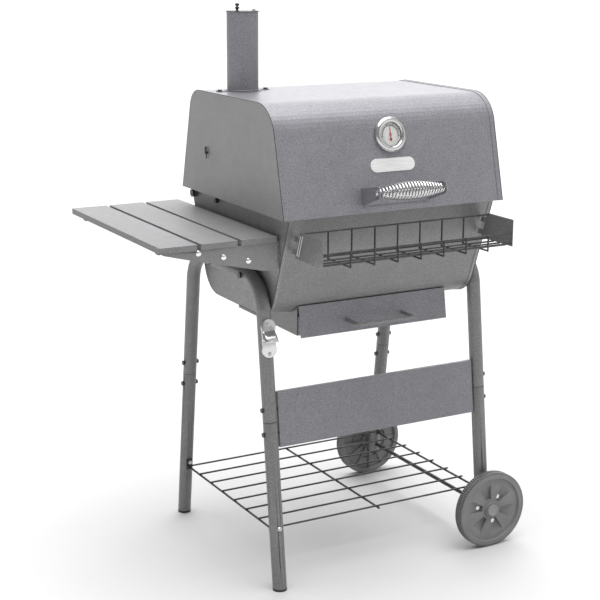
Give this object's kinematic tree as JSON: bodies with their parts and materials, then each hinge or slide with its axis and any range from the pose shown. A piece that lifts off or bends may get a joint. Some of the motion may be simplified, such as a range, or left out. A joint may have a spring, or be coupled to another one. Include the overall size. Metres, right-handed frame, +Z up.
{
  "type": "charcoal barrel grill",
  "caption": "Barrel-shaped charcoal grill on a splayed tube cart with a hinged lid, smoke chimney, slatted side shelf, wire basket, ash drawer and transport wheels.",
  "frame": {"origin": "on the floor, under the middle of the bounding box", "axes": "+Z up, +Y to the rear of the grill, +X to the wheel side, away from the side shelf"},
  "size_m": [0.94, 0.691, 1.309],
  "materials": {
    "body_paint": "satin",
    "lid_paint": "satin",
    "shelf_paint": "satin",
    "wire_paint": "satin",
    "inner_steel": "matt",
    "zinc": "satin",
    "chrome": "polished",
    "grate_iron": "matt",
    "wheel_plastic": "matt",
    "cap_plastic": "satin",
    "black_plastic": "matt",
    "dial_white": "matt",
    "pointer_red": "satin",
    "dial_glass": "clear"
  },
  "bodies": {
    "cart": {"upper_frame_left": "body_paint", "upper_frame_right": "body_paint", "lower_legs_left": "body_paint", "lower_legs_right": "body_paint", "leg_sleeves": "inner_steel", "leg_bolts": "zinc", "leg_plugs": "black_plastic", "axle": "zinc", "axle_nuts": "zinc", "bottom_shelf": "wire_paint", "panel_screws": "zinc", "front_valance": "lid_paint", "firebox_shell": "body_paint", "firebox_end_left": "body_paint", "firebox_end_right": "body_paint", "body_bolts": "wire_paint", "ash_housing": "body_paint", "grate_supports": "inner_steel", "charcoal_grate": "grate_iron", "cooking_grate_left": "grate_iron", "cooking_grate_right": "grate_iron", "shelf_slat_outer": "shelf_paint", "shelf_slat_middle": "shelf_paint", "shelf_slat_inner": "shelf_paint", "shelf_frame": "body_paint", "shelf_gussets": "body_paint", "shelf_bolts": "zinc", "basket_wires": "wire_paint", "basket_ends": "body_paint", "basket_hooks": "zinc", "bottle_opener": "chrome"},
    "lid": {"lid_skin": "lid_paint", "lid_end_left": "lid_paint", "lid_end_right": "lid_paint", "hinge_straps": "body_paint", "handle_bracket": "lid_paint", "handle_rod": "chrome", "handle_grip": "chrome", "nameplate": "chrome", "thermometer_case": "chrome", "thermometer_dial": "dial_white", "thermometer_glass": "dial_glass", "chimney_tube": "body_paint", "chimney_flange": "body_paint", "chimney_bolts": "wire_paint", "damper_pin": "body_paint"},
    "pointer": {"thermometer_pointer": "pointer_red"},
    "chimney_damper": {"damper_plate": "body_paint", "damper_knob": "black_plastic"},
    "ash_drawer": {"ash_drawer_front": "lid_paint", "ash_drawer_pan": "inner_steel", "ash_drawer_handle": "body_paint"},
    "inlet_damper": {"air_damper": "body_paint"},
    "rack": {"warming_rack": "wire_paint", "rack_pins": "wire_paint"},
    "link": {"rack_link": "wire_paint"},
    "front_wheel": {"wheel_front": "wheel_plastic", "hub_cap_front": "cap_plastic"},
    "rear_wheel": {"wheel_rear": "wheel_plastic", "hub_cap_rear": "cap_plastic"}
  },
  "joints": [
    {"name": "lid_hinge", "type": "hinge", "parent": "cart", "child": "lid", "pos_m": [0.088, 0.2465, 0.852], "axis": [-1, 0, 0], "range_deg": [0, 72]},
    {"name": "rack_lid_pivot", "type": "hinge", "parent": "lid", "child": "rack", "pos_m": [0.088, 0.1335, 0.966], "axis": [-1, 0, 0], "range_deg": [-72, 0]},
    {"name": "rack_link_pivot", "type": "hinge", "parent": "cart", "child": "link", "pos_m": [0.088, 0.122, 0.852], "axis": [-1, 0, 0], "range_deg": [0, 72]},
    {"name": "chimney_damper_turn", "type": "hinge", "parent": "lid", "child": "chimney_damper", "pos_m": [-0.08, 0.1305, 1.29], "axis": [0, 0, 1], "range_deg": [0, 100]},
    {"name": "thermometer_pointer_turn", "type": "hinge", "parent": "lid", "child": "pointer", "pos_m": [0.088, -0.20384, 1.03], "axis": [0, -0.9713, 0.238], "range_deg": [-110, 110]},
    {"name": "ash_drawer_slide", "type": "slide", "parent": "cart", "child": "ash_drawer", "axis": [0, -1, 0], "range_m": [0, 0.24]},
    {"name": "air_damper_turn", "type": "hinge", "parent": "cart", "child": "inlet_damper", "pos_m": [0.3594, 0.0165, 0.782], "axis": [1, 0, 0], "range_deg": [0, 60]},
    {"name": "front_wheel_spin", "type": "hinge", "parent": "cart", "child": "front_wheel", "pos_m": [0.375, -0.245, 0.095], "axis": [0, 1, 0], "continuous": true},
    {"name": "rear_wheel_spin", "type": "hinge", "parent": "cart", "child": "rear_wheel", "pos_m": [0.375, 0.33, 0.095], "axis": [0, 1, 0], "continuous": true}
  ],
  "couplings": [
    {"joint": "rack_lid_pivot", "follows": "lid_hinge", "ratio": -1},
    {"joint": "rack_link_pivot", "follows": "lid_hinge", "ratio": 1}
  ]
}
